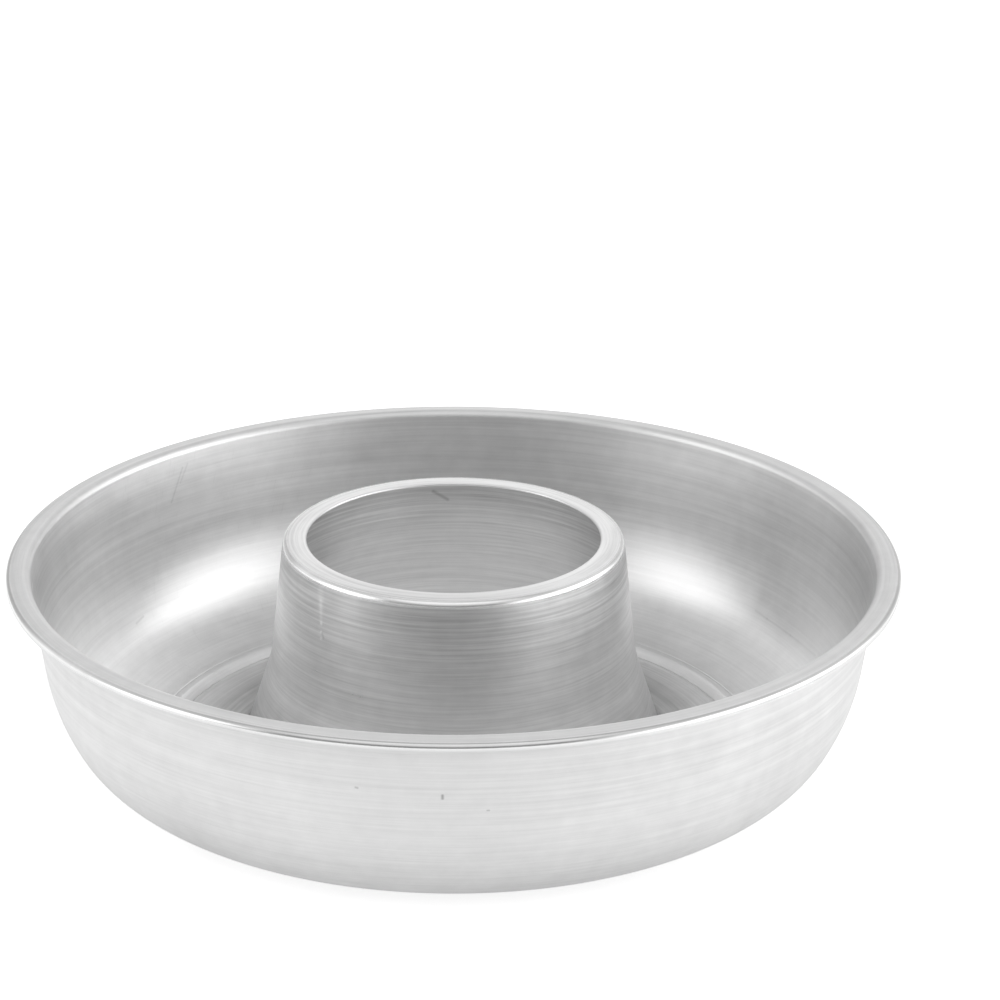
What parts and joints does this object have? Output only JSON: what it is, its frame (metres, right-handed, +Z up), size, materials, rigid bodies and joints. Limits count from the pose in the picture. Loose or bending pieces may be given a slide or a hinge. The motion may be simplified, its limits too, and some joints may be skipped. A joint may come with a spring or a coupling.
{
  "type": "ring cake mould",
  "caption": "Round spun-aluminium cake mould with a flat turned-out rim and an open centre tube seamed to its floor.",
  "frame": {"origin": "centre of the underside, on the axis, in the plane that the mould rests on", "axes": "+Z up along the axis of the mould and of its tube; +X and +Y are alike, because the mould is round"},
  "size_m": [0.28, 0.28, 0.0728],
  "materials": {
    "pan_aluminium": "satin, faint turning marks",
    "tube_aluminium": "satin, clear turning marks"
  },
  "bodies": {
    "root": {"outer_pan": "pan_aluminium", "centre_tube": "tube_aluminium"}
  },
  "joints": []
}
